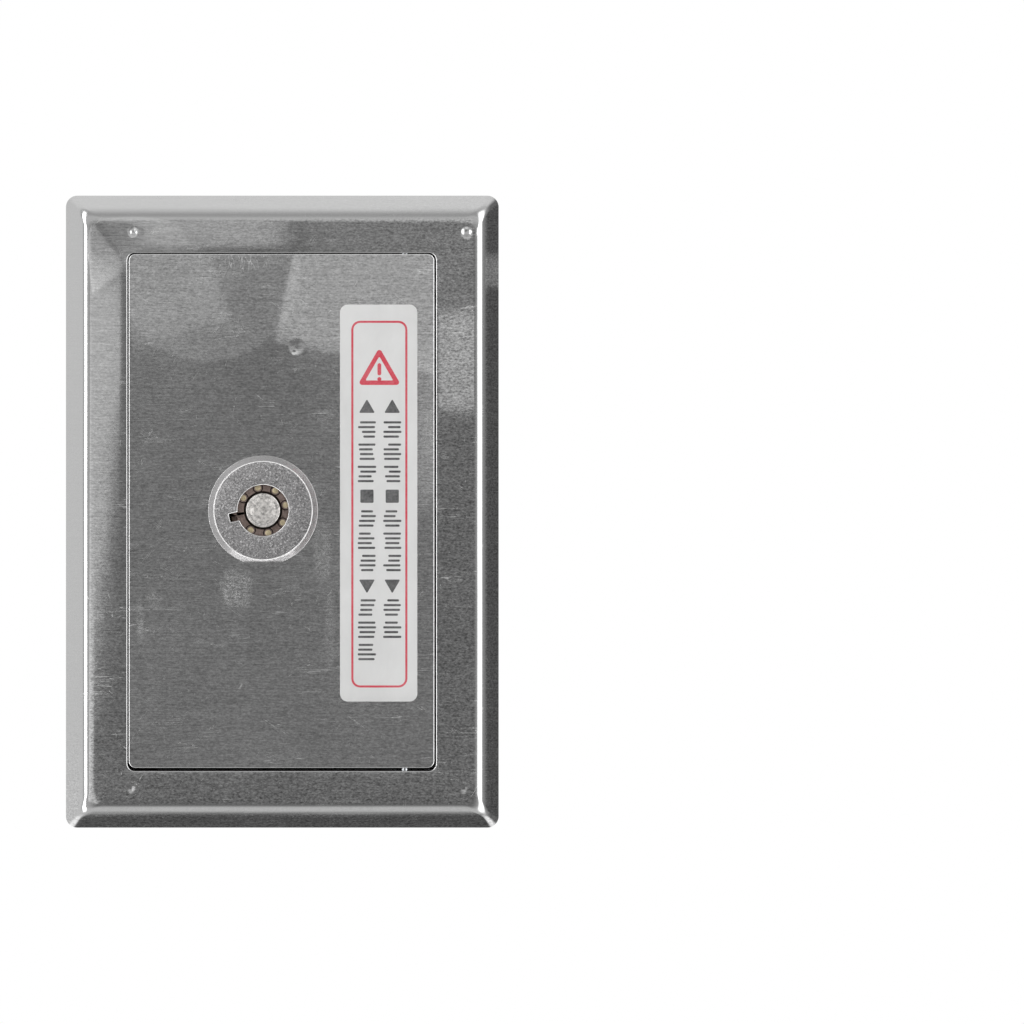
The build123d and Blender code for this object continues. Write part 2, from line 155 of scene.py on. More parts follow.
def rect_loop(us, vs, half_w, half_h, radius, y, centre=(0.0, 0.0)):
    """Clockwise loop of a rounded rectangle; us and vs run from -1 to 1."""
    top = [(u * half_w, half_h) for u in us]
    right = [(half_w, v * half_h) for v in vs[::-1][1:]]
    bottom = [(u * half_w, -half_h) for u in us[::-1][1:]]
    left = [(-half_w, v * half_h) for v in vs[1:-1]]
    flat = np.array(top + right + bottom + left)
    flat = round_corner(flat, half_w, half_h, radius)
    ys = np.full(len(flat), y)
    return np.column_stack([flat[:, 0] + centre[0], ys, flat[:, 1] + centre[1]])


def flat_grid(patches, xs, zs, hole, height):
    """A plane grid with a rectangular hole; height(x, z) gives its y."""
    x0, x1, z0, z1 = hole
    below, above = zs[zs < z0 + EPS], zs[zs > z1 - EPS]
    for pair in zip(xs[:-1], xs[1:]):
        beside_hole = pair[0] > x0 - EPS and pair[1] < x1 + EPS
        for run in (below, above) if beside_hole else (zs,):
            patches.grid([[(x, height(x, z), z) for z in run] for x in pair])


def around_y(radius, turns, y, centre):
    """A loop of points round the Y axis, at the given angles and radius or radii."""
    x = centre[0] + radius * np.cos(turns)
    z = centre[1] + radius * np.sin(turns)
    return np.column_stack([x, np.full(len(turns), y), z])


def circle(radius, y, count, centre):
    """A full circle round the Y axis, anticlockwise from +X."""
    return around_y(radius, np.linspace(0, 2 * math.pi, count, endpoint=False), y, centre)


def lathe(patches, profile, count, centre, tag=0):
    """Turns a list of (radius, y) round the Y axis; radius 0 closes the end."""
    rings = [circle(radius, y, count, centre) for radius, y in profile if radius > 0]
    patches.loops(rings, tag=tag)
    for end, ring in ((profile[0], rings[0]), (profile[-1], rings[-1])):
        if end[0] == 0:
            patches.cap(ring, (centre[0], end[1], centre[1]), tag=tag)


def arc(cx, cy, radius, start_deg, end_deg, steps):
    """Points (x, y) on an arc, for profiles."""
    turns = np.radians(np.linspace(start_deg, end_deg, steps + 1))
    return [(cx + radius * math.cos(a), cy + radius * math.sin(a)) for a in turns]


def rolled(roll, y, steps=8):
    """Pairs (out, y) for an edge rolled back from a face at y."""
    turns = np.linspace(0, math.pi / 2, steps + 1)
    return [(roll * (1 - math.sin(a)), y + roll * (1 - math.cos(a))) for a in turns]


# ---------------------------------------------------------------- materials

class Tree:
    """Short words for building the node tree of a material or the world."""

    def __init__(self, owner):
        owner.use_nodes = True
        self.tree = owner.node_tree
        self.tree.nodes.clear()

    def link(self, a, b):
        self.tree.links.new(a, b)

    def add(self, kind, **values):
        node = self.tree.nodes.new("ShaderNode" + kind)
        for key, value in values.items():
            setattr(node, key, value)
        return node

    def feed(self, socket, value):
        """Links a socket, or sets its number or its colour."""
        if isinstance(value, bpy.types.NodeSocket):
            self.link(value, socket)
        else:
            socket.default_value = (*value, 1.0) if isinstance(value, tuple) else value

    def math(self, how, a, b=0.0):
        node = self.add("Math", operation=how)
        self.feed(node.inputs[0], a)
        self.feed(node.inputs[1], b)
        return node.outputs[0]

    def plus(self, a, b):
        return self.math("ADD", a, b)

    def minus(self, a, b):
        return self.math("SUBTRACT", a, b)

    def times(self, a, b):
        return self.math("MULTIPLY", a, b)

    def total(self, first, *others):
        for value in others:
            first = self.plus(first, value)
        return first

    def swing(self, field, amount):
        """A noise field moved to swing about zero."""
        return self.times(self.minus(field, 0.5), amount)

    def xyz(self, vector):
        node = self.add("SeparateXYZ")
        self.link(vector, node.inputs[0])
        return node.outputs

    def span(self, value, lo, hi, to_lo=0.0, to_hi=1.0, how="LINEAR"):
        """Carries lo..hi over to to_lo..to_hi, level beyond the ends."""
        node = self.add("MapRange", clamp=True, interpolation_type=how)
        for socket, number in zip(node.inputs, (value, lo, hi, to_lo, to_hi)):
            self.feed(socket, number)
        return node.outputs[0]


class Nodes(Tree):
    """A material with one Principled shader."""

    def __init__(self, name, metal=0.0):
        self.material = bpy.data.materials.new(name)
        super().__init__(self.material)
        self.shader = self.add("BsdfPrincipled")
        self.shader.inputs["Metallic"].default_value = metal
        self.link(self.shader.outputs[0], self.add("OutputMaterial").inputs[0])
        self.place = self.add("TexCoord").outputs["Object"]

    def scaled(self, x, y, z, offset=(0, 0, 0), way=None):
        """Object coordinates, or a way made from them, scaled and moved."""
        node = self.add("Mapping")
        self.link(way or self.place, node.inputs["Vector"])
        node.inputs["Scale"].default_value = (x, y, z)
        node.inputs["Location"].default_value = offset
        return node.outputs[0]

    def noise(self, vector, detail=3.0, rough=0.5, twist=0.0):
        node = self.add("TexNoise")
        self.link(vector, node.inputs["Vector"])
        numbers = {"Scale": 1.0, "Detail": detail, "Roughness": rough, "Distortion": twist}
        for key, number in numbers.items():
            node.inputs[key].default_value = number
        return node.outputs[0]

    def even(self, fineness, detail=3.0, rough=0.5, twist=0.0, shift=(0, 0, 0)):
        """Noise of the same fineness in every direction."""
        way = self.scaled(fineness, fineness, fineness, shift)
        return self.noise(way, detail, rough, twist)

    def cells(self, vector, feature="F1"):
        node = self.add("TexVoronoi", feature=feature)
        self.link(vector, node.inputs["Vector"])
        node.inputs["Scale"].default_value = 1.0
        return node.outputs["Distance"]

    def mix(self, amount, a, b):
        node = self.add("Mix", data_type="RGBA")
        for k, value in ((0, amount), (6, a), (7, b)):
            self.feed(node.inputs[k], value)
        return node.outputs[2]

    def rgb(self, *channels):
        node = self.add("CombineColor")
        for socket, value in zip(node.inputs, channels):
            self.feed(socket, value)
        return node.outputs[0]

    def colour(self, value):
        self.feed(self.shader.inputs["Base Color"], value)

    def rough(self, value):
        self.feed(self.shader.inputs["Roughness"], value)

    def bump(self, height, distance, before=None, strength=1.0):
        node = self.add("Bump")
        node.inputs["Strength"].default_value = strength
        node.inputs["Distance"].default_value = distance
        self.link(height, node.inputs["Height"])
        if before is not None:
            self.link(before, node.inputs["Normal"])
        return node.outputs[0]

    def normal(self, value):
        self.link(value, self.shader.inputs["Normal"])


def tilted(m, degrees, x, z, offset):
    """Object coordinates turned about Y, then scaled along and across."""
    turn = m.add("Mapping")
    m.link(m.place, turn.inputs["Vector"])
    turn.inputs["Rotation"].default_value = (0, math.radians(degrees), 0)
    return m.scaled(x, x, z, offset, turn.outputs[0])


def hairlines(m, degrees, length, width, rarity, seed):
    """Sparse thin scratches in one direction, from 0 to 1."""
    along, across = 1000.0 / length, 1000.0 / width
    way = tilted(m, degrees, along, across * 0.11, (seed, seed, seed))
    field = m.noise(way, 0.0, 0.5, 0.6)
    line = m.span(m.math("ABSOLUTE", m.minus(field, 0.5)), 0.0, 0.012, 1.0, 0.0)
    where = tilted(m, degrees, along * 0.9, along * 3.0, (seed + 4, seed, 1 - seed))
    gate = m.span(m.noise(where, 2.0, 0.6), rarity, rarity + 0.06)
    return m.times(line, gate)


def around(m, x, z, half_x, half_z):
    """A soft mask round a place on the front, from 0 to 1."""
    place_x, _, place_z = m.xyz(m.place)
    dx = m.math("DIVIDE", m.minus(place_x, x * MM), half_x * MM)
    dz = m.math("DIVIDE", m.minus(place_z, z * MM), half_z * MM)
    far = m.plus(m.math("POWER", dx, 2.0), m.math("POWER", dz, 2.0))
    ragged = m.even(420, 3.0, 0.6)
    far = m.plus(far, m.swing(ragged, 1.2))
    return m.span(far, 0.25, 1.1, 1.0, 0.0)


def surface_normal(m):
    """The X, Y and Z parts of the surface's own direction."""
    return m.xyz(m.add("TexCoord").outputs["Normal"])


LOCK = (-3.66, 0.24)  # the lock's axis, x and z
FLAT_ON = (0.97, 0.999)  # how squarely a surface faces forward to count as flat


def facing(m, lo, hi, to_lo, to_hi):
    """Runs from to_lo to to_hi as the surface turns from sideways to face forward."""
    return m.span(m.math("ABSOLUTE", surface_normal(m)[1]), lo, hi, to_lo, to_hi)


def worn(m, least):
    """Grows from least at the upper left of the face to one at the lower right."""
    x, _, z = m.xyz(m.place)
    across, down = m.times(x, 20.0), m.times(z, -12.0)
    return m.span(m.plus(across, down), -1.1, 0.2, least, 1.0)


def steel(
    name, grain, mottle, tone, rough, seed=0.0, marks=(), wave=1.0, calm=1.0, fresh=1.0
):
    """Stainless sheet with a fine horizontal grain, scratches and handling marks.

    calm is how much of the texture shows on surfaces turned away from the front, and
    fresh how much of the mottling shows at the upper left, where the face is least worn.
    """
    m = Nodes(name, metal=1.0)
    m.shader.inputs["Anisotropic"].default_value = 0.55
    across = m.add("CombineXYZ")
    across.inputs[2].default_value = 1.0
    spin = m.add("VectorTransform", vector_type="VECTOR")
    spin.convert_from, spin.convert_to = "OBJECT", "WORLD"
    m.link(across.outputs[0], spin.inputs[0])
    m.link(spin.outputs[0], m.shader.inputs["Tangent"])
    shift = (seed, seed * 0.7, seed * 1.3)
    fine = m.noise(m.scaled(520, 520, 4600, shift), 2.0, 0.6)
    streak = m.noise(m.scaled(60, 60, 3000, shift), 2.0, 0.7)
    speckle = m.noise(m.scaled(1900, 1900, 3400, shift), 3.0, 0.75)
    cloud = m.even(60, 5.0, 0.65, 0.8, shift=shift)
    swell = m.even(24, 1.0, 0.5, shift=shift)
    blotch = m.span(cloud, 0.35, 0.7)
    scratch = hairlines(m, 2.0, 9.0, 0.05, 0.585, seed + 1.0)
    for degrees, length, rarity in ((58.0, 5.0, 0.65), (-34.0, 6.0, 0.65), (88.0, 3.0, 0.66)):
        more = hairlines(m, degrees, length, 0.05, rarity, seed + degrees * 0.1)
        scratch = m.math("MAXIMUM", scratch, more)
    for x, z, half_x, half_z, strength, combed in marks:
        if combed:
            lines = hairlines(m, 88.0, 3.5, 0.09, 0.30, x)
        else:
            curls = m.even(900, 1.0, 0.5, 2.5, shift=(x, 0, z))
            curls = m.math("ABSOLUTE", m.minus(curls, 0.5))
            lines = m.span(curls, 0.0, 0.05, 1.0, 0.15)
        patch = m.times(lines, around(m, x, z, half_x, half_z))
        scratch = m.math("MAXIMUM", scratch, m.times(patch, strength))
    spots = m.swing(speckle, 1.15 * mottle)
    if fresh < 1.0:
        spots = m.times(spots, worn(m, fresh))
    value = m.total(
        m.swing(fine, 0.60 * grain), m.swing(streak, 0.34 * grain), spots,
        m.swing(cloud, 0.10), m.times(scratch, 0.30),
    )
    relief = m.plus(fine, streak)
    if calm < 1.0:
        flat = facing(m, *FLAT_ON, calm, 1.0)
        spread = flat
        if fresh < 1.0:
            slope = facing(m, 0.62, 0.70, 0.9, 0.0)
            slope = m.times(slope, m.span(surface_normal(m)[2], 0.2, 0.5, 1.0, 0.0))
            rubbed = m.times(m.span(worn(m, 0.0), 0.55, 0.9), slope)
            spread = m.math("MAXIMUM", flat, rubbed)
        value = m.times(value, spread)
        relief = m.times(relief, flat)
        speckle = m.times(speckle, flat)
    value = m.plus(value, tone)
    m.colour(m.rgb(value, value, m.times(value, 0.998)))
    m.rough(
        m.total(m.times(fine, 0.06), rough - 0.05, m.times(blotch, 0.05), m.times(scratch, 0.30))
    )
    first = m.bump(swell, 4.5e-4 * wave)
    second = m.bump(relief, 1.5e-6 * grain, first)
    third = m.bump(speckle, 2.0e-6 * mottle, second)
    m.normal(m.bump(scratch, 4.0e-6, third))
    return m.material


def cast_plating(name):
    """Satin plating over a die casting: its flat face is finely pitted and glitters."""
    m = Nodes(name, metal=1.0)
    flat = facing(m, *FLAT_ON, 0.12, 1.0)
    pits = m.cells(m.scaled(2600, 2600, 2600))
    grit = m.even(3300, 3.0, 0.75)
    cloud = m.even(420, 3.0, 0.6)
    speck = m.span(m.even(2900, 1.0, 0.6, shift=(5, 6, 7)), 0.60, 0.70)
    dots = m.times(m.minus(pits, 0.45), 0.30)
    value = m.total(m.swing(grit, 1.3), dots, m.swing(cloud, 0.20), m.times(speck, 0.45))
    value = m.total(m.times(value, flat), m.times(flat, 0.01), 0.45)
    value = m.span(value, 0.06, 1.0, 0.06, 1.0)
    m.colour(m.rgb(value, m.times(value, 0.985), m.times(value, 0.99)))
    m.rough(m.plus(m.times(flat, 0.16), 0.10))
    first = m.bump(m.times(grit, flat), 6.0e-5)
    m.normal(m.bump(m.times(pits, flat), 3.0e-5, first, 0.7))
    return m.material


def turned(name, colour, rough, dark, wear):
    """Lathe-turned metal: fine rings round the lock's axis, scored and dulled in patches."""
    m = Nodes(name, metal=1.0)
    x, _, z = m.xyz(m.place)
    dx, dz = m.minus(x, LOCK[0] * MM), m.minus(z, LOCK[1] * MM)
    radius = m.math("SQRT", m.plus(m.math("POWER", dx, 2.0), m.math("POWER", dz, 2.0)))
    rings = m.add("TexNoise", noise_dimensions="1D")
    m.link(m.times(radius, 2900.0), rings.inputs["W"])
    rings.inputs["Scale"].default_value = 1.0
    rings.inputs["Detail"].default_value = 2.0
    ring_value = rings.outputs[0]
    patch = m.even(900, 4.0, 0.65, 0.5)
    grit = m.even(2300, 2.0, 0.7)
    score = hairlines(m, 63.0, 2.5, 0.06, 0.45, 3.0)
    score = m.math("MAXIMUM", score, hairlines(m, -48.0, 2.0, 0.06, 0.47, 5.0))
    amount = m.total(m.times(patch, 0.4), m.times(grit, wear), m.times(ring_value, 0.45 * wear))
    amount = m.minus(amount, m.times(score, 0.4))
    middle = 0.2 + 0.72 * wear
    shade = tuple(c * dark for c in colour)
    m.colour(m.mix(m.span(amount, middle - 0.13, middle + 0.22), colour, shade))
    m.rough(m.plus(m.times(patch, 0.3), rough - 0.05))
    first = m.bump(ring_value, 1.2e-5)
    m.normal(m.bump(grit, 1.0e-5, first))
    return m.material


def plated(name, colour, rough):
    """Zinc or nickel plating with soft cloudy variation and small scratches."""
    m = Nodes(name, metal=1.0)
    cloud = m.even(260, 5.0, 0.65, 0.8)
    grit = m.even(3000, 2.0, 0.6)
    edge = m.cells(m.scaled(300, 300, 900, (1, 2, 3)), "DISTANCE_TO_EDGE")
    scratch = m.span(edge, 0.0, 0.012, 1.0, 0.0)
    shade = tuple(c * 0.72 for c in colour)
    m.colour(m.mix(m.span(cloud, 0.35, 0.7), colour, shade))
    rough_value = m.plus(m.times(cloud, 0.22), rough - 0.08)
    m.rough(m.plus(rough_value, m.times(scratch, 0.15)))
    first = m.bump(grit, 5.0e-6)
    m.normal(m.bump(m.times(scratch, -1.0), 6.0e-6, first))
    return m.material


def plastic(name, colour, rough, texture=1.2e-5):
    """Moulded plastic with a fine spark texture and faint sheen changes."""
    m = Nodes(name)
    grit = m.even(4200, 3.0, 0.6)
    cloud = m.even(180, 3.0, 0.5)
    light = tuple(min(1.0, c * 1.25 + 0.01) for c in colour)
    m.colour(m.mix(m.span(cloud, 0.3, 0.75), colour, light))
    m.rough(m.plus(m.times(cloud, 0.16), rough - 0.06))
    m.normal(m.bump(grit, texture))
    return m.material


def vinyl(name):
    """White printed vinyl with a slight orange-peel surface and faint soiling."""
    m = Nodes(name)
    peel = m.even(1500, 2.0, 0.5)
    soil = m.noise(m.scaled(150, 150, 90), 5.0, 0.6, 0.5)
    m.colour(m.mix(m.span(soil, 0.35, 0.8), (0.715, 0.715, 0.71), (0.63, 0.63, 0.625)))
    m.rough(m.plus(m.times(soil, 0.2), 0.35))
    m.normal(m.bump(peel, 6.0e-6))
    return m.material


def ink(name, colour, faded):
    """Screen-printed ink, slightly uneven in density."""
    m = Nodes(name)
    grain = m.even(2600, 3.0, 0.7)
    cloud = m.even(330, 4.0, 0.6)
    density = m.plus(m.times(grain, 0.6), m.times(cloud, 0.5))
    m.colour(m.mix(m.span(density, 0.42, 0.8), colour, faded))
    m.rough(m.plus(m.times(grain, 0.2), 0.42))
    m.normal(m.bump(grain, 4.0e-6))
    return m.material


# Handling marks: x, z, half width, half height, strength, combed lines or curls.
SCUFFS = (
    (-8.6, -14.6, 3.8, 4.4, 1.0, False),
    (-24.5, -17.0, 2.0, 2.0, 0.6, False),
    (-27.0, -20.0, 0.9, 5.5, 0.6, False),
    (-8.0, 47.4, 9.5, 1.9, 1.0, True),
    (-11.0, 45.2, 5.0, 0.9, 0.5, False),
    (28.0, 15.5, 2.4, 5.0, 0.6, False),
    (9.0, -22.0, 1.2, 9.0, 0.4, False),
    (7.6, -8.0, 2.2, 7.0, 0.6, False),
)
FRAME_STEEL = steel("frame_steel", 0.7, 1.7, tone=0.60, rough=0.14, calm=0.12, fresh=0.3)
DOOR_STEEL = steel(
    "door_steel", 1.0, 1.1, tone=0.725, rough=0.15, seed=2.4, marks=SCUFFS, calm=0.3
)
BOX_STEEL = steel("box_steel", 0.6, 0.5, tone=0.56, rough=0.34, seed=5.1, wave=0.4)
LOCK_CAST = cast_plating("lock_casting")
LOCK_RIM = plated("lock_rim", (0.82, 0.81, 0.81), 0.26)
# Near-black plating for the groove round the post and thin rings round the pins: painted shadow in
# the clearances.
PAINTED_GAP_SHADOW = plated("bore_shadow", (0.05, 0.04, 0.035), 0.60)
POST_METAL = turned("lock_post", (0.97, 0.94, 0.91), 0.46, 0.24, 0.7)
FLOOR_METAL = turned("lock_floor", (0.50, 0.39, 0.35), 0.40, 0.22, 0.35)
PIN_BRASS = turned("pin_brass", (0.98, 0.85, 0.58), 0.40, 0.60, 0.35)
ZINC = plated("zinc_plate", (0.66, 0.68, 0.70), 0.34)
BRASS = plated("brass_plate", (0.76, 0.56, 0.27), 0.30)
COPPER = plated("copper_strip", (0.80, 0.50, 0.32), 0.30)
SPRING_WIRE = plated("spring_wire", (0.50, 0.50, 0.52), 0.28)
BEZEL_METAL = plated("bezel_chrome", (0.74, 0.74, 0.74), 0.18)
PANEL_METAL = steel("panel_sheet", 0.7, 0.4, tone=0.74, rough=0.36, seed=8.0, wave=0.2)
RUBBER = plastic("black_rubber", (0.022, 0.022, 0.022), 0.62, 2.0e-5)
BLACK = plastic("black_plastic", (0.025, 0.025, 0.027), 0.34)
GREEN = plastic("green_plastic", (0.02, 0.27, 0.07), 0.30, 6.0e-6)
RED = plastic("red_plastic", (0.52, 0.015, 0.012), 0.30, 6.0e-6)
BLOCK = plastic("block_plastic", (0.09, 0.09, 0.10), 0.48)
VINYL = vinyl("label_vinyl")
RED_INK = ink("red_ink", (0.60, 0.045, 0.075), (0.66, 0.17, 0.20))
GREY_INK = ink("grey_ink", (0.055, 0.055, 0.058), (0.20, 0.20, 0.20))


# ------------------------------------------------------------ pressed frame

FACE_Y = -4.9  # the flat front of frame and door
SLOPE = math.radians(55.0)
HALF_W, HALF_H = 41.1, 60.0
SHEET = 1.0
BACK_Y = FACE_Y + SHEET
# The bend turns slowly at first, then quickly, then slowly: a soft pressed edge.
BEND_WIDTH = 3.7
BEND_AT = np.linspace(0.0, 1.0, 25)
BEND_TURN = SLOPE * BEND_AT**2 * (3.0 - 2.0 * BEND_AT)
BEND_RISE = (np.tan(BEND_TURN[1:]) + np.tan(BEND_TURN[:-1])) / 2 * np.diff(BEND_AT)
BEND_DROP = np.concatenate([[0.0], np.cumsum(BEND_RISE)]) * BEND_WIDTH
BEND_OUT = (-FACE_Y - BEND_DROP[-1]) / math.tan(SLOPE)
BEND_IN = BEND_OUT + BEND_WIDTH
CORNER_IN = BEND_IN + 1.0
# The outline's corner radius at the foot, at both ends of the bend and on the flat.
CORNERS = ((0.0, BEND_OUT, BEND_IN, CORNER_IN), (2.2, 1.3, 2.8, 0.0))
FLAT_W, FLAT_H = HALF_W - CORNER_IN, HALF_H - CORNER_IN
HOLE_W, HOLE_H = 31.0, 50.9  # the square ring that joins the face to the lip
LIP_W, LIP_H, LIP_R, LIP_ROLL, LIP_BACK = 29.24, 49.10, 1.4, 0.24, -0.9
LIP_MIDDLE = (-0.12, -0.05)
# Spot-weld marks: x, z, radius, depth.
MARKS = (
    (-28.2, 53.0, 0.95, 0.264),
    (34.95, 53.1, 1.30, 0.384),
    (-28.7, -52.5, 0.80, 0.108),
    (34.4, -52.6, 0.80, 0.108),
)
RIM, RIM_END = 0.02, 1.6  # the low rim round a weld mark, and how many radii out it ends


def pressed(x, z, marks, rim=0.0):
    """The y of the front at a place, with round marks pressed into it."""
    y = FACE_Y
    for mx, mz, radius, depth in marks:
        far = math.hypot(x - mx, z - mz) / radius
        if far < 1.0:
            y += depth * (1 - far * far) ** 2
        elif far < RIM_END:
            y -= rim * math.sin((far - 1.0) / (RIM_END - 1.0) * math.pi)
    return y


def frame_height(x, z):
    return pressed(x, z, MARKS, RIM)


def mirrored(*spans):
    """Coordinates on both sides of zero, from spans on the positive side."""
    half = spaced(*spans)
    return np.concatenate([-half[::-1], half[1:]])


def within(values, low, high):
    return values[(values >= low - EPS) & (values <= high + EPS)]


def bend_section():
    """Pairs (inset, y) from the hidden side, round the rim's foot, to the shown side."""
    foot_in = SHEET / math.sin(SLOPE)
    inner, outer = [], []
    for at, turn, drop in zip(BEND_AT, BEND_TURN, BEND_DROP):
        inset, y = BEND_IN - BEND_WIDTH * at, FACE_Y + drop
        outer.append((inset, y))
        inner.append((inset + SHEET * math.sin(turn), y + SHEET * math.cos(turn)))
    last = inner[-1]
    inner += [(last[0] + (foot_in - last[0]) * t, last[1] * (1 - t)) for t in (0.33, 0.67)]
    inner += [(foot_in, -0.02), (foot_in - 0.12, 0.0), (0.12, 0.0)]
    slope = [(outer[-1][0] * t, outer[-1][1] * t) for t in (0.04, 0.25, 0.5, 0.75)]
    rim = [BEND_IN + (CORNER_IN - BEND_IN) * k / 7 for k in range(1, 8)]
    hidden = [(inset, BACK_Y) for inset in rim[::-1]] + inner
    shown = slope + outer[::-1] + [(inset, FACE_Y) for inset in rim]
    return hidden, shown


def make_frame():
    """The faceplate: flat ring, bent rim all round, and the lip round the opening."""
    p = Patches()
    xs = mirrored(
        (0.0, 27.4, 1.3), (27.4, HOLE_W, 0.15), (HOLE_W, 33.1, 0.42), (33.1, FLAT_W, 0.15)
    )
    zs = mirrored(
        (0.0, 48.4, 1.3), (48.4, HOLE_H, 0.16), (HOLE_H, 51.3, 0.4), (51.3, FLAT_H, 0.15)
    )
    hole = (-HOLE_W, HOLE_W, -HOLE_H, HOLE_H)
    flat_grid(p, xs, zs, hole, frame_height)
    flat_grid(p, xs, zs, hole, lambda x, z: BACK_Y)
    us, vs = xs / FLAT_W, zs / FLAT_H
    hidden, shown = bend_section()
    rings = []
    for section in (hidden, shown):
        for inset, y in section:
            radius = np.interp(inset, *CORNERS)
            ring = rect_loop(us, vs, HALF_W - inset, HALF_H - inset, radius, y)
            if section is shown:
                ring[:, 1] += [frame_height(x, z) - FACE_Y for x, _, z in ring]
            rings.append(ring)
    p.loops(rings)
    us = within(xs, -HOLE_W, HOLE_W) / HOLE_W
    vs = within(zs, -HOLE_H, HOLE_H) / HOLE_H
    rings = [rect_loop(us, vs, HOLE_W, HOLE_H, 0.0, FACE_Y)]
    grown = rolled(LIP_ROLL, FACE_Y)
    grown += [(0.0, LIP_BACK - 0.1), (0.1, LIP_BACK), (SHEET, LIP_BACK), (SHEET, BACK_Y)]
    for out, y in grown:
        rings.append(rect_loop(us, vs, LIP_W + out, LIP_H + out, LIP_R + out, y, LIP_MIDDLE))
    rings.append(rect_loop(us, vs, HOLE_W, HOLE_H, 0.0, BACK_Y))
    p.loops(rings)
    piece = p.make("pressed_frame", [FRAME_STEEL])
    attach(piece, "box")
    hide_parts("front_frame")
    return piece


FRAME_PIECE = make_frame()


# --------------------------------------------------------------------- door

DOOR_W, DOOR_H, DOOR_X, DOOR_Z = 29.0, 48.76, -0.15, 0.14
DOOR_R, DOOR_ROLL, DOOR_BACK = 1.3, 0.2, -0.5
PLATE_W, PLATE_H = 27.9, 47.75  # the flat part, up to the rolled edge
# The knock: x, z, radius, depth.
DENTS = ((2.7, 31.3, 1.9, 0.17), (2.2, 30.2, 0.45, 0.07), (3.2, 29.2, 2.4, 0.05))
LOCK_PATCH = 13.0  # half the side of the square that holds the lock's hole
LOCK_HOLE_R = 9.55


def make_door():
    """The door: a flat tray with rolled edges and the lock's round hole."""
    p = Patches()
    lx, lz = LOCK[0], LOCK[1] - DOOR_Z
    hole = (lx - LOCK_PATCH, lx + LOCK_PATCH, lz - LOCK_PATCH, lz + LOCK_PATCH)
    xs = spaced(
        (-PLATE_W, -26.6, 0.2), (-26.6, hole[0], 1.2), (hole[0], 0.0, 1.1), (0.0, 5.6, 0.16),
        (5.6, hole[1], 1.1), (hole[1], 26.6, 1.2), (26.6, PLATE_W, 0.2),
    )
    zs = spaced(
        (-PLATE_H, -46.4, 0.2), (-46.4, hole[2], 1.4), (hole[2], hole[3], 1.1),
        (hole[3], 26.6, 1.3), (26.6, 33.4, 0.16), (33.4, 46.4, 1.3), (46.4, PLATE_H, 0.2),
    )
    flat_grid(p, xs, zs, hole, lambda x, z: pressed(x, z + DOOR_Z, DENTS))
    flat_grid(p, xs, zs, hole, lambda x, z: BACK_Y)
    us, vs = xs / PLATE_W, zs / PLATE_H
    rings = [rect_loop(us, vs, PLATE_W, PLATE_H, 0.0, FACE_Y)]
    section = [(out, DOOR_R - out, y) for out, y in rolled(DOOR_ROLL, FACE_Y)]
    section += [(0.0, 1.2, DOOR_BACK - 0.12), (0.12, 1.1, DOOR_BACK)]
    section += [(SHEET - 0.05, 0.4, DOOR_BACK), (SHEET, 0.0, DOOR_BACK - 0.1)]
    for inset, radius, y in section:
        half_w, half_h = DOOR_W - inset, DOOR_H - inset
        rings.append(rect_loop(us, vs, half_w, half_h, radius, y, (DOOR_X, 0.0)))
    rings.append(rect_loop(us, vs, PLATE_W, PLATE_H, 0.0, BACK_Y))
    p.loops(rings)
    us = (within(xs, hole[0], hole[1]) - lx) / LOCK_PATCH
    vs = (within(zs, hole[2], hole[3]) - lz) / LOCK_PATCH
    bore = []
    for y in (FACE_Y, BACK_Y):
        square = rect_loop(us, vs, LOCK_PATCH, LOCK_PATCH, 0.0, y, (lx, lz))
        turns = np.arctan2(square[:, 2] - lz, square[:, 0] - lx)
        ring = around_y(LOCK_HOLE_R, turns, y, (lx, lz))
        p.loops([square + (ring - square) * t for t in np.linspace(0, 1, 5)])
        bore.append(ring)
    p.loops(bore)
    for block in p.points:
        block[:, 2] += DOOR_Z
    piece = p.make("door_skin", [DOOR_STEEL])
    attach(piece, "door")
    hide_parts("door_panel")
    return piece


DOOR_PIECE = make_door()


# --------------------------------------------------------------------- lock

FLANGE_R, FLANGE_FLAT, FLANGE_FRONT = 10.4, 9.8, -6.5
FLANGE_FACE = FLANGE_FRONT + 0.07  # the flat face, behind the bead round its edge
BEAD_OUT, BEAD_IN = 0.95, 1.17
KEYHOLE_R, NOTCH_R, NOTCH_W = 4.86, 6.5, 1.6
KEYHOLE_ROLL, KEYHOLE_BACK = 0.14, -4.45
NOTCH = math.radians(193.0)
BARREL_R, BARREL_ROOT, BARREL_END, BARREL_FLAT, BORE_R = 9.45, 9.02, 8.0, 8.2, 6.2
LUG_R, LUG_IN, LUG_END, LUG_FROM, LUG_SWEEP = 8.1, 6.65, 8.75, 16, 238


def flange_loop(turns, inset, y):
    """The flange's outline shrunk by inset: a circle with a flat cut below."""
    radius = FLANGE_R - inset
    x = radius * np.cos(turns)
    z = np.maximum(radius * np.sin(turns), -FLANGE_FLAT)
    return np.column_stack([x + LOCK[0], np.full(len(turns), y), z + LOCK[1]])


def from_notch(turns):
    """Angles measured from the middle of the key notch, from -pi to pi."""
    return (turns - NOTCH + math.pi) % (2 * math.pi) - math.pi


def keyhole_loop(turns, grow, y):
    """The keyhole's outline grown by grow: a circle with the key notch."""
    half = NOTCH_W / 2 + grow
    reach = NOTCH_R + grow
    round_r = KEYHOLE_R + grow
    mouth, tip = math.asin(half / round_r), math.atan2(half, reach)
    radii = []
    for off in from_notch(turns):
        if abs(off) <= tip:
            radii.append(reach / math.cos(off))
        elif abs(off) < mouth:
            radii.append(half / abs(math.sin(off)))
        else:
            radii.append(round_r)
    return around_y(np.array(radii), turns, y, LOCK)


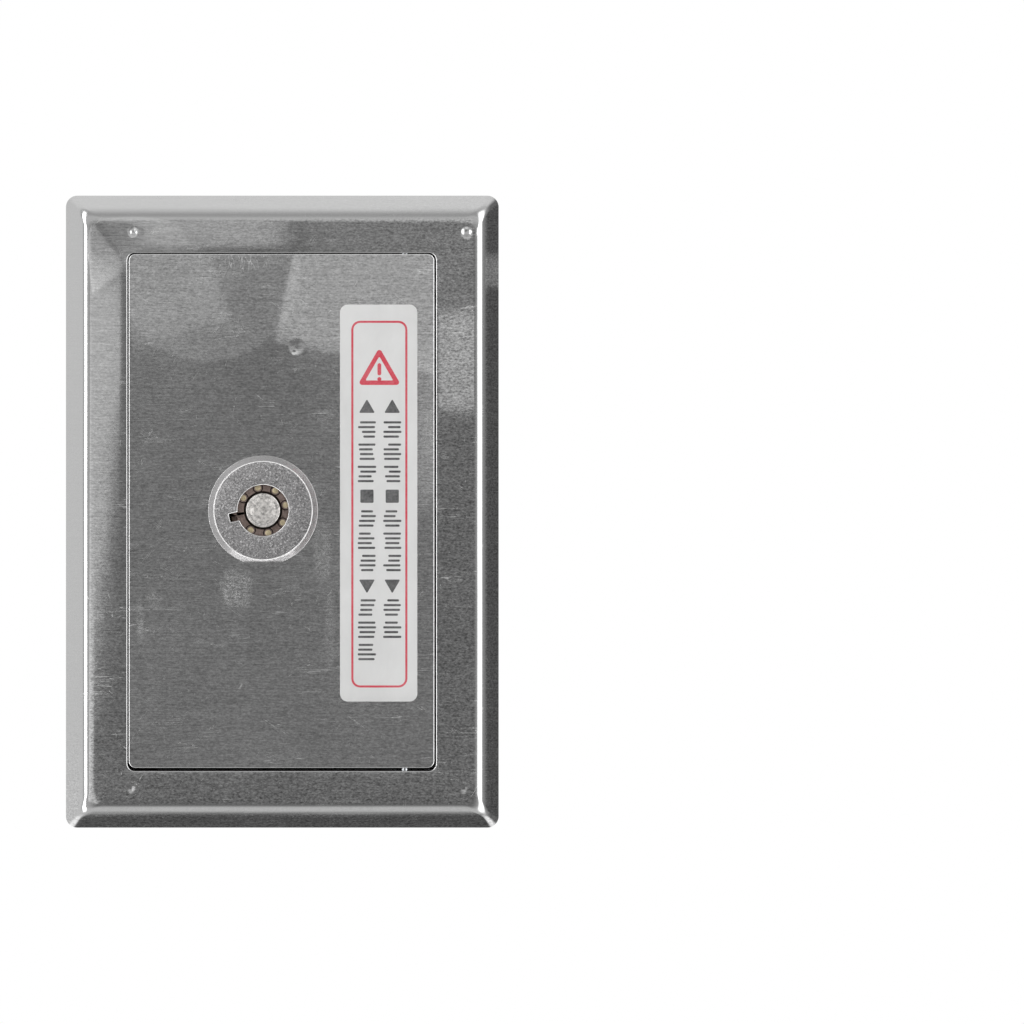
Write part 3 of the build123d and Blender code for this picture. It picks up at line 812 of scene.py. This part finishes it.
def lock_turns():
    """Angles for the lock's loops, dense round the key notch and the flat."""
    turns = list(np.linspace(0, 2 * math.pi, 240, endpoint=False))
    tip = math.atan2(NOTCH_W / 2, NOTCH_R)
    mouth = math.asin(NOTCH_W / 2 / KEYHOLE_R)
    for side in (-1, 1):
        turns += [NOTCH + side * t for t in np.linspace(tip, mouth, 7)]
    chord = math.asin(FLANGE_FLAT / FLANGE_R)
    turns += [math.pi + chord, 2 * math.pi - chord]
    turns = sorted(set(round(t, 5) for t in turns))
    keep = [turns[0]]
    for t in turns[1:]:
        if t - keep[-1] > 0.0015:
            keep.append(t)
    return np.array(keep)


def make_flange(p, turns):
    """The flange with its bead, and the keyhole with its rolled edge."""
    foot = [(0.0, FACE_Y), (0.0, -5.3)] + arc(0.2, -5.35, 0.2, 180, 228, 6)
    steps = np.linspace(0.0, 1.0, 9)[:, None]
    slope = np.array(foot[-1]) * (1 - steps) + np.array((BEAD_OUT, FLANGE_FACE)) * steps
    bead = [(1.06 + x, y) for x, y in arc(0.0, FLANGE_FACE + 0.05, 0.11, 190, 350, 10)]
    bead[0], bead[-1] = (BEAD_OUT, FLANGE_FACE), (BEAD_IN, FLANGE_FACE)
    for tag, section in ((1, foot), (0, slope), (1, bead)):
        p.loops([flange_loop(turns, inset, y) for inset, y in section], tag=tag)
    outer = flange_loop(turns, BEAD_IN, FLANGE_FACE)
    inner = keyhole_loop(turns, KEYHOLE_ROLL, FLANGE_FACE)
    p.loops([outer + (inner - outer) * t for t in (0.0, 0.25, 0.5, 0.75, 1.0)])
    edge = rolled(KEYHOLE_ROLL, FLANGE_FACE, 4)
    p.loops([keyhole_loop(turns, out, y) for out, y in edge], tag=1)
    depths = (FLANGE_FACE + KEYHOLE_ROLL, -5.9, -5.2, KEYHOLE_BACK)
    p.loops([keyhole_loop(turns, 0.0, y) for y in depths])


def make_barrel(p):
    """The threaded barrel with its bore and two flats."""
    end = BARREL_END
    section = [(BORE_R, KEYHOLE_BACK), (BORE_R, end - 0.05), (BORE_R + 0.1, end)]
    section += [(BARREL_R - 0.15, end), (BARREL_R, end - 0.15)]
    for y in np.arange(end - 0.4, -3.2, -0.8):
        section += [(BARREL_R, y), (BARREL_ROOT, y - 0.25), (BARREL_ROOT, y - 0.35)]
        section += [(BARREL_R, y - 0.6), (BARREL_R, y - 0.7)]
    section += [(9.2, -3.6), (9.2, FACE_Y)]
    rings = []
    for radius, y in section:
        ring = circle(radius, y, 160, LOCK)
        if radius > BARREL_FLAT:
            ring[:, 0] = np.clip(ring[:, 0], LOCK[0] - BARREL_FLAT, LOCK[0] + BARREL_FLAT)
        rings.append(ring)
    p.loops(rings)


def make_lug(p):
    """A raised sector on the barrel's end; the stop washer turns in the gap it leaves."""
    turns = np.radians(LUG_FROM + LUG_SWEEP * np.linspace(0, 1, 49))
    lug = []
    for y in (BARREL_END - 0.02, LUG_END):
        inner = around_y(LUG_IN, turns[::-1], y, LOCK)
        lug.append(np.vstack([around_y(LUG_R, turns, y, LOCK), inner]))
    p.loops(lug)
    p.grid([lug[1][:49], lug[1][49:][::-1]])


def make_lock_housing():
    p = Patches()
    make_flange(p, lock_turns())
    make_barrel(p)
    make_lug(p)
    piece = p.make("lock_body", [LOCK_CAST, LOCK_RIM], sharp_deg=50)
    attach(piece, "door")
    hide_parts("lock_housing")
    return piece


LOCK_PIECE = make_lock_housing()

PIN_ANGLES = [13.0 + 45.0 * k for k in (0, 1, 2, 3, 5, 6, 7)]
PIN_CIRCLE, PIN_R, PIN_BACK = 4.4, 0.8, 0.9
PIN_PLACES = [
    (LOCK[0] + PIN_CIRCLE * math.cos(a), LOCK[1] + PIN_CIRCLE * math.sin(a))
    for a in np.radians(PIN_ANGLES)
]
POST_R, DISC_R, TAIL_R, TAIL_FLAT, STUD_R, STUD_ROOT = 3.25, 6.1, 3.4, 2.6, 2.5, 2.2
KEYWAY_Y, SLOT_BACK, SHEAR_Y, TAIL_START, TAIL_END, STUD_END = -4.4, -2.4, 0.96, 8.0, 10.7, 14.78
# The last tag picks the near-black material, which is painted shadow.
POST_TAG, FLOOR_TAG, PAINTED_SHADOW_TAG = 0, 1, 2


def make_post(p):
    """The centre post, with painted shadow: the groove round it and thin rings round the pins are
    coloured near-black.
    """
    profile = [(0, -6.3), (1.2, -6.3), (2.2, -6.29), (2.3, -6.24), (2.42, -6.22)]
    profile += [(2.9, -6.17)] + arc(3.0, -5.92, 0.25, -75, 0, 5)
    profile += [(POST_R, -5.4), (POST_R, -3.9)]
    lathe(p, profile, 128, LOCK, tag=POST_TAG)
    # The groove round the post takes the near-black material: painted shade in the recess.
    gap = [(POST_R, -3.9), (3.6, -3.9), (3.62, KEYWAY_Y + 0.05)]
    lathe(p, gap, 128, LOCK, tag=PAINTED_SHADOW_TAG)
    # Thin near-black rings laid just above the floor round each pin: painted shadow, not geometry
    # that casts it.
    raised = KEYWAY_Y - 0.004
    for place in PIN_PLACES:
        lathe(p, [(0.79, raised), (1.0, raised), (1.0, KEYWAY_Y)], 28, place, tag=PAINTED_SHADOW_TAG)


def make_disc(p):
    """The turning disc, with the slot that the key's lug drops into."""
    edge = math.asin(NOTCH_W / 2 / DISC_R)
    slot_sides = NOTCH + np.array([-1.004, -1, 1, 1.004]) * edge
    turns = np.linspace(0, 2 * math.pi, 256, endpoint=False) + NOTCH
    turns = np.sort(np.concatenate([turns, slot_sides]))
    in_slot = np.abs(from_notch(turns)) <= edge * 1.0001
    section = [(3.62, KEYWAY_Y + 0.05, False), (3.67, KEYWAY_Y, False)]
    section += [(radius, KEYWAY_Y, True) for radius in (4.3, 5.05, DISC_R)]
    section += [(DISC_R, SLOT_BACK, True), (DISC_R, SLOT_BACK, False)]
    section += [(DISC_R, SHEAR_Y, False), (TAIL_R, SHEAR_Y, False)]
    rings = []
    for radius, y, slotted in section:
        radii = np.where(in_slot & slotted, min(radius, 5.05), radius)
        rings.append(around_y(radii, turns, y, LOCK))
    p.loops(rings, tag=FLOOR_TAG)


def make_tail(p):
    """The shaft, its two flats for the cam, and the threaded stud for the nut."""
    lathe(p, [(TAIL_R, SHEAR_Y), (TAIL_R, TAIL_START), (3.2, TAIL_START + 0.02)], 128, LOCK)
    rings = []
    for y in (TAIL_START, TAIL_END):
        ring = circle(TAIL_R, y, 128, LOCK)
        ring[:, 2] = np.clip(ring[:, 2], LOCK[1] - TAIL_FLAT, LOCK[1] + TAIL_FLAT)
        rings.append(ring)
    rings.append(circle(STUD_R, TAIL_END, 128, LOCK))
    p.loops(rings)
    stud, crest = [(STUD_R, TAIL_END)], STUD_R - 0.02
    for y in np.arange(TAIL_END + 0.2, 14.3, 0.5):
        stud += [(crest, y), (STUD_ROOT, y + 0.18), (STUD_ROOT, y + 0.24), (crest, y + 0.42)]
    stud += [(2.4, 14.4), (2.05, STUD_END), (0, STUD_END)]
    lathe(p, stud, 96, LOCK)


def make_spindle():
    p = Patches()
    make_post(p)
    make_disc(p)
    make_tail(p)
    # The third material is the near-black painted shadow.
    piece = p.make("lock_core", [POST_METAL, FLOOR_METAL, PAINTED_GAP_SHADOW], sharp_deg=35)
    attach(piece, "lock_core")
    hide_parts("lock_spindle")


make_spindle()


def make_key_pins():
    p = Patches()
    profile = [(0, -4.45), (0.3, -4.44), (0.52, -4.41), (0.68, -4.34), (0.76, -4.25)]
    profile += [(PIN_R, -4.1), (PIN_R, -3.0), (PIN_R, PIN_BACK), (0, PIN_BACK)]
    for place in PIN_PLACES:
        lathe(p, profile, 28, place)
    piece = p.make("lock_pins", [PIN_BRASS], sharp_deg=60)
    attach(piece, "lock_core")
    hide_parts("key_pins")


make_key_pins()


# -------------------------------------------------------------------- label

LABEL_C = (18.27, 1.62)
LABEL_HW, LABEL_HH, LABEL_R = 7.33, 37.65, 1.5
LABEL_FRONT = FACE_Y - 0.13
LABEL_RIM = 1.6  # the width of the border that carries the rounded corners
INK = 0.012


def make_label():
    p = Patches()
    us = mirrored((0.0, 0.78, 0.1), (0.78, 1.0, 0.022))
    vs = mirrored((0.0, 0.955, 0.03), (0.955, 1.0, 0.0045))
    rings = []
    for inset, y, radius in (
        (0.0, FACE_Y - 0.004, LABEL_R), (0.0, LABEL_FRONT + 0.05, LABEL_R),
        (0.02, LABEL_FRONT + 0.015, LABEL_R - 0.02), (0.06, LABEL_FRONT, LABEL_R - 0.06),
        (LABEL_RIM, LABEL_FRONT, 0.0),
    ):
        half_w, half_h = LABEL_HW - inset, LABEL_HH - inset
        rings.append(rect_loop(us, vs, half_w, half_h, radius, y, LABEL_C))
    p.loops(rings)
    xs = us * (LABEL_HW - LABEL_RIM) + LABEL_C[0]
    zs = vs * (LABEL_HH - LABEL_RIM) + LABEL_C[1]
    p.grid([[(x, LABEL_FRONT, z) for z in zs] for x in xs])
    piece = p.make("label_sheet", [VINYL])
    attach(piece, "door")
    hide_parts("warning_label")


make_label()


def rounded_outline(cx, cz, half_w, half_h, radius, steps=6):
    """Anticlockwise outline of a rounded rectangle, with so many steps in a corner."""
    points = []
    for sx, sz, start in ((1, 1, 0), (-1, 1, 90), (-1, -1, 180), (1, -1, 270)):
        x, z = cx + sx * (half_w - radius), cz + sz * (half_h - radius)
        points += arc(x, z, radius, start, start + 90.0, steps)
    return points


def triangle(cx, cz, size, up, radius):
    """Outline of an equal-sided triangle with softened corners; up is 1 or -1."""
    points = []
    for k in range(3):
        turn = 90 * up + 120 * k
        reach, a = size - 2 * radius, math.radians(turn)
        x, z = cx + reach * math.cos(a), cz + reach * math.sin(a)
        points += arc(x, z, radius, turn - 60, turn + 60, 6)
    return points


def printed(outline, height):
    """An outline's points at a height above the label."""
    return np.array([(x, LABEL_FRONT - height, z) for x, z in outline])


def flat_print(p, outline):
    """A filled convex patch of ink with a tiny edge."""
    front = printed(outline, INK)
    p.loops([printed(outline, 0.0), front])
    p.cap(front, front.mean(0))


def band_print(p, outer, inner):
    """A closed band of ink between two outlines with the same point count."""
    p.loops([printed(outer, 0.0), printed(outer, INK), printed(inner, INK), printed(inner, 0.0)])


BORDER_X, BORDER_Z, BORDER_HW, BORDER_HH, BORDER_R, BORDER_LINE = 18.4, 1.42, 5.12, 34.58, 1.5, 0.2
SIGN_Z, SIGN_OUT, SIGN_IN = 26.4, 4.75, 3.05
COLUMNS = ((16.05, 12), (20.85, 11))  # x, and how many blocks of lines and marks
COLUMN_TOP, BLOCK_STEP = 19.8, 4.22
MARK, SQUARE, BAR = 1.75, 1.25, 0.21
UP_BLOCK, STOP_BLOCK, DOWN_BLOCK = 0, 4, 8


def print_sign(red):
    """The red border and the warning triangle."""
    edges = []
    for line in (BORDER_LINE, -BORDER_LINE):
        half_w, half_h, radius = BORDER_HW + line, BORDER_HH + line, BORDER_R + line
        edges.append(rounded_outline(BORDER_X, BORDER_Z, half_w, half_h, radius))
    band_print(red, *edges)
    outer = triangle(BORDER_X, SIGN_Z, SIGN_OUT, 1, 0.5)
    band_print(red, outer, triangle(BORDER_X, SIGN_Z, SIGN_IN, 1, 0.15))
    flat_print(red, rounded_outline(BORDER_X, 27.0, 0.36, 1.15, 0.34, 4))
    flat_print(red, rounded_outline(BORDER_X, 25.15, 0.38, 0.36, 0.34, 4))


def print_columns(dark):
    """Up, stop and down marks between blocks of plain bars."""
    rng = np.random.default_rng(7)
    for cx, count in COLUMNS:
        for k in range(count):
            cz = COLUMN_TOP - BLOCK_STEP * k
            if k == UP_BLOCK:
                flat_print(dark, triangle(cx, cz - 0.2, MARK, 1, 0.15))
            elif k == STOP_BLOCK:
                flat_print(dark, rounded_outline(cx, cz, SQUARE, SQUARE, 0.2, 3))
            elif k == DOWN_BLOCK:
                flat_print(dark, triangle(cx, cz + 0.2, MARK, -1, 0.15))
            else:
                for z in cz + 1.35 - 0.9 * np.arange(4):
                    width = 1.1 + 0.65 * rng.random()
                    x = cx + (MARK - width) * (2 * rng.random() - 1)
                    flat_print(dark, rounded_outline(x, z, width, BAR, 0.16, 3))


def make_print():
    for name, print_on, material in (
        ("label_red_print", print_sign, RED_INK), ("label_dark_print", print_columns, GREY_INK)
    ):
        p = Patches()
        print_on(p)
        piece = p.make(name, [material], sharp_deg=30, merge=0.0001)
        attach(piece, "door")


make_print()


# ------------------------------------------------------------ return springs

BUTTON_X, BUTTON_Z = 2.4, {"up": 29.0, "stop": 0.0, "down": -29.0}
COIL_R, WIRE_R, COIL_FRONT, COIL_BACK, COIL_TURNS = 4.6, 0.35, 25.02, 30.98, 4
WIRE_SIDES, COIL_STEPS = 14, 56


def make_spring(name):
    """A coil between a button's cap and its bezel."""
    p = Patches()
    z = BUTTON_Z[name]
    low, high = COIL_FRONT + WIRE_R, COIL_BACK - WIRE_R
    round_wire = np.linspace(0, 2 * math.pi, WIRE_SIDES, endpoint=False)[:, None]
    along = np.array([0.0, 1.0, 0.0])
    rings, middles = [], []
    for share in np.linspace(0.0, 1.0, COIL_STEPS * COIL_TURNS + 1):
        turn = 2 * math.pi * COIL_TURNS * share
        out = np.array([math.cos(turn), 0.0, math.sin(turn)])
        middle = np.array([BUTTON_X, low + (high - low) * share, z]) + COIL_R * out
        rings.append(middle + WIRE_R * (np.cos(round_wire) * out + np.sin(round_wire) * along))
        middles.append(middle)
    p.loops(rings)
    p.cap(rings[0], middles[0])
    p.cap(rings[-1], middles[-1])
    piece = p.make(name + "_coil", [SPRING_WIRE])
    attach(piece, "box")
    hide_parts(name + "_spring")
    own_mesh(piece)


# --------------------------------------------------- materials on CAD nodes

def dress(material, *names):
    for name in names:
        mesh = NODES[name].data
        mesh.materials.clear()
        mesh.materials.append(material)


dress(BOX_STEEL, "back_box", "keeper_channel")
dress(ZINC, "hinge_pins", "lock_nut", "lock_washer", "lock_cam", "stop_washer")
dress(ZINC, "cam_washer", "cam_nut", "panel_brackets", "panel_screws", "bushing_dowel")
dress(BRASS, "driver_pins", "lock_bushing", "earth_stud", "earth_nut", "earth_washer")
dress(SPRING_WIRE, "pin_springs")
dress(RUBBER, "bumper_pads", "cable_grommet")
dress(PANEL_METAL, "switch_panel")
for name, material in (("up", GREEN), ("stop", RED), ("down", BLACK)):
    dress(BEZEL_METAL, name + "_bezel", name + "_ring_nut")
    dress(material, name + "_cap")
    make_spring(name)
    dress(BLOCK, name + "_contact_block")
    dress(COPPER, name + "_bridge", name + "_contacts")
    dress(ZINC, name + "_terminal_screws")


# ----------------------------------------------------- floor, light, camera

FLOOR_Z, FLOOR_REACH = -60.06, 900.0


def make_floor():
    p = Patches()
    steps = np.linspace(-FLOOR_REACH, FLOOR_REACH, 13)
    p.grid([[(x, y, FLOOR_Z) for y in steps] for x in steps])
    m = Nodes("floor_paper")
    grain = m.even(120, 3.0)
    m.colour(m.mix(m.span(grain, 0.3, 0.7), (0.80, 0.80, 0.80), (0.83, 0.83, 0.83)))
    m.rough(0.9)
    floor = p.make("floor", [m.material])
    floor.visible_glossy = False


make_floor()


FRONT_LEVEL = 0.195  # how bright the studio is straight ahead of the face


def make_world():
    """A studio: bright above and to the left, two tall strips of light."""
    world = bpy.data.worlds.new("studio")
    bpy.context.scene.world = world
    w = Tree(world)

    def ramp(value, lo, hi, to_lo=0.0, to_hi=1.0):
        return w.span(value, lo, hi, to_lo, to_hi, "SMOOTHSTEP")

    def fall(value, start, end):
        """One up to start, nothing from end on."""
        return ramp(value, start, end, 1.0, 0.0)

    def window(value, lo, hi, soft):
        return w.times(ramp(value, lo - soft, lo + soft), fall(value, hi - soft, hi + soft))

    def angle(a, b):
        return w.times(w.math("ARCTAN2", a, b), 180.0 / math.pi)

    # side and rise are the angles of a direction to the right and up, in degrees.
    x, y, z = w.xyz(w.add("TexCoord").outputs["Generated"])
    ahead = w.times(y, -1.0)
    side, rise = angle(x, ahead), angle(z, ahead)
    over = w.times(ramp(z, 0.55, 0.85), ramp(rise, 58.0, 110.0))
    under = w.times(fall(z, -0.85, -0.60), fall(rise, -110.0, -80.0))
    lean = w.minus(w.times(w.math("ABSOLUTE", x), 0.54), w.times(z, 0.82))
    corner = ramp(w.plus(lean, w.times(y, 0.17)), 0.93, 0.995)
    tall = window(z, -0.70, 0.70, 0.18)
    left = w.times(window(side, -58.0, -41.0, 1.5), tall)
    right = w.times(w.times(ramp(side, 34.0, 50.0), fall(side, 58.0, 84.0)), tall)
    level = FRONT_LEVEL
    for mask, strength in (
        (fall(side, -26.0, -4.0), 0.52),
        (ramp(side, 12.0, 38.0), 0.48),
        (ramp(rise, 3.0, 16.0), 0.52),
        (window(rise, 14.0, 36.0, 6.0), 0.66),
        (window(rise, 46.0, 60.0, 4.0), 0.48),
        (window(rise, -84.0, -38.0, 12.0), 0.72),
        (ramp(side, 62.0, 66.0), 0.36),
        (ramp(side, 86.0, 112.0), 0.11),
        (fall(side, -80.0, -64.0), 0.82),
        (over, 0.94), (under, 0.11), (corner, 1.4), (left, 5.0), (right, 3.6),
    ):
        level = w.plus(w.times(level, w.minus(1.0, mask)), w.times(strength, mask))
    white = (1.0, 1.0, 1.0, 1.0)
    choose = w.add("MixShader")
    w.link(w.add("LightPath").outputs["Is Camera Ray"], choose.inputs[0])
    for socket, strength in ((choose.inputs[1], level), (choose.inputs[2], 1.0)):
        light = w.add("Background")
        light.inputs["Color"].default_value = white
        w.feed(light.inputs["Strength"], strength)
        w.link(light.outputs[0], socket)
    w.link(choose.outputs[0], w.add("OutputWorld").inputs[0])


make_world()


# Panels of light: name, lit piece, (x, z, distance ahead), (width, height), strength,
# and the turns by which they face the object other than squarely: (pitch, lean, yaw).
CARDS = (
    ("frame_left_card", FRAME_PIECE, (-46.2, -12.0, 60.0), (24.0, 116.0), 0.46, (0, 6, 0)),
    ("frame_left_end_card", FRAME_PIECE, (-36.6, 48.3, 14.0), (9.0, 12.0), 0.26, (0, -37, 0)),
    ("frame_top_card", FRAME_PIECE, (-13.0, 57.0, 75.0), (26.0, 16.0), 0.36, (0, -2, 0)),
    ("frame_top_end_card", FRAME_PIECE, (-26.6, 53.8, 16.0), (12.0, 20.0), 0.11, (0, -34, 0)),
    ("frame_corner_card", FRAME_PIECE, (26.0, 52.0, 60.0), (44.0, 30.0), 0.09, (0, 0, 0)),
    ("frame_right_card", FRAME_PIECE, (35.0, 28.4, 25.0), (14.0, 18.5), 0.32, (0, 0, 0)),
    ("door_right_card", DOOR_PIECE, (21.0, 46.0, 14.0), (38.0, 36.0), 0.225, (0, 12, 0)),
    ("door_round_card", DOOR_PIECE, (-14.0, 46.0, 9.0), (35.0, 35.0), 0.07, (0, 0, 0)),
    ("door_left_card", DOOR_PIECE, (-23.0, 44.0, 30.0), (20.0, 22.0), 0.12, (0, -18, 0)),
    ("frame_slope_card", FRAME_PIECE, (56.5, 45.6, -3.6), (9.0, 6.0), 0.17, (0, 0, 90)),
    ("door_edge_card", DOOR_PIECE, (34.0, 14.0, 60.0), (20.0, 26.0), 0.16, (0, 0, 0)),
    ("lock_card", LOCK_PIECE, (-14.0, 8.0, 50.0), (20.0, 20.0), 0.5, (0, 0, 0)),
    ("lock_low_card", LOCK_PIECE, (-3.7, -45.0, 31.0), (70.0, 56.0), 2.2, (90, 0, 0)),
)
ROUND_CARDS = ("door_round_card", "lock_card")


def make_card(name, piece, place, size, strength, turns):
    """A soft panel of light for one piece, not seen by the camera."""
    data = bpy.data.lights.new(name, "AREA")
    data.shape = "ELLIPSE" if name in ROUND_CARDS else "RECTANGLE"
    data.size, data.size_y = size[0] * MM, size[1] * MM
    share = math.pi / 4 if name in ROUND_CARDS else 1.0
    data.energy = strength * math.pi * data.size * data.size_y * share
    lamp = bpy.data.objects.new(name, data)
    bpy.context.scene.collection.objects.link(lamp)
    lamp.location = (place[0] * MM, -place[2] * MM, place[1] * MM)
    pitch, lean, yaw = np.radians(turns)
    lamp.rotation_euler = (math.pi / 2 + pitch, lean, yaw)
    lamp.visible_camera = False
    group = bpy.data.collections.new(name + "_lit")
    group.objects.link(piece)
    lamp.light_linking.receiver_collection = group


for row in CARDS:
    make_card(*row)

VIEW_WIDTH = 194.197
VIEW_CENTRE = (43.56, -0.07)  # x and z: the box stands in the left half of the view


def make_camera():
    data = bpy.data.cameras.new("camera")
    data.type = "ORTHO"
    data.ortho_scale = VIEW_WIDTH * MM
    data.clip_start, data.clip_end = 0.01, 10.0
    camera = bpy.data.objects.new("camera", data)
    bpy.context.scene.collection.objects.link(camera)
    camera.location = (VIEW_CENTRE[0] * MM, -1.0, VIEW_CENTRE[1] * MM)
    camera.rotation_euler = (math.radians(90.0), 0.0, 0.0)
    bpy.context.scene.camera = camera


make_camera()
bpy.context.scene.view_settings.view_transform = "Standard"
